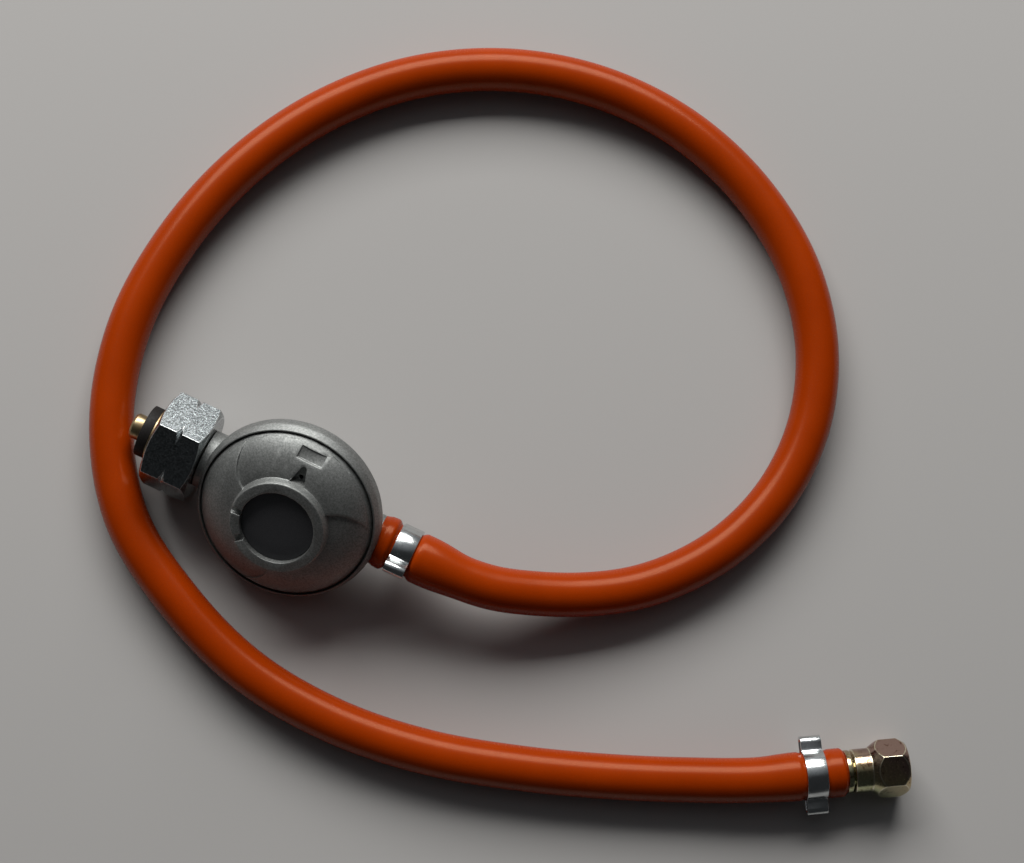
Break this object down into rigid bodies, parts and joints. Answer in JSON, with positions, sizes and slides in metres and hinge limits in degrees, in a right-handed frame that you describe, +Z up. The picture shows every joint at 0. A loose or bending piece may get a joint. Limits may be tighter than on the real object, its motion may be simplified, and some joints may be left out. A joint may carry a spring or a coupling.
{
  "type": "gas regulator with hose",
  "caption": "Low-pressure gas regulator lying on its cone, with a round domed housing, a hexagon inlet nut, and a looped rubber hose that ends in a small union nut.",
  "frame": {"origin": "on the floor, under the middle of the regulator's box (regulator, nut and outlet nozzle, without the hose)", "axes": "+X along the gas flow through the regulator from inlet to outlet, +Z up from the floor; the regulator lies on its cone, so its dome leans towards -Y"},
  "size_m": [0.3115, 0.2529, 0.0444],
  "materials": {
    "zinc_casting": "satin, fine cast grain",
    "cap_plastic": "matte",
    "zinc_plated_steel": "bright zinc plating",
    "spring_steel": "satin",
    "brass": "machined",
    "yellow_brass": "polished, slightly worn",
    "black_rubber": "matte",
    "hose_rubber": "satin"
  },
  "bodies": {
    "root": {"lower_body": "zinc_casting", "cover": "zinc_casting", "label_cap": "cap_plastic", "inlet_nipple": "brass", "inlet_filter": "spring_steel", "inlet_seal": "black_rubber", "lever_pin": "spring_steel", "pin_screws": "zinc_plated_steel", "diaphragm": "black_rubber", "main_spring": "spring_steel", "hose": "hose_rubber", "regulator_clamp": "zinc_plated_steel", "far_clamp": "zinc_plated_steel", "hose_tail": "yellow_brass"},
    "inlet_nut": {"inlet_nut": "zinc_plated_steel"},
    "outlet_nut": {"outlet_nut": "yellow_brass"},
    "stem": {"diaphragm_plate": "zinc_plated_steel", "centre_stem": "brass", "stem_clip": "spring_steel"},
    "lever": {"lever": "zinc_plated_steel"},
    "valve": {"valve_holder": "brass", "valve_pad": "black_rubber"},
    "adjuster": {"adjuster": "brass"}
  },
  "joints": [
    {"name": "inlet_nut_turn", "type": "hinge", "parent": "root", "child": "inlet_nut", "pos_m": [-0.0397, 0.00358, 0.01737], "axis": [1, 0, 0], "continuous": true},
    {"name": "outlet_nut_turn", "type": "hinge", "parent": "root", "child": "outlet_nut", "pos_m": [0.21658, 0.00584, 0.00905], "axis": [0.866, 0.5, 0], "continuous": true},
    {"name": "stem_lift", "type": "slide", "parent": "root", "child": "stem", "axis": [0, -0.5736, 0.8192], "range_m": [0, 0.0012], "deforming": ["main_spring", "diaphragm"]},
    {"name": "lever_swing", "type": "hinge", "parent": "root", "child": "lever", "pos_m": [-0.009, 0.00713, 0.01229], "axis": [0, -0.8192, -0.5736], "range_deg": [0, 6.26]},
    {"name": "valve_slide", "type": "slide", "parent": "root", "child": "valve", "axis": [-1, 0, 0], "range_m": [0, 0.00068]},
    {"name": "adjuster_travel", "type": "slide", "parent": "root", "child": "adjuster", "axis": [0, -0.5736, 0.8192], "range_m": [-0.001, 0.0008], "deforming": ["main_spring"]}
  ],
  "couplings": [
    {"joint": "lever_swing", "follows": "stem_lift", "rad_per_m": 90.909},
    {"joint": "valve_slide", "follows": "stem_lift", "ratio": 0.56364}
  ]
}
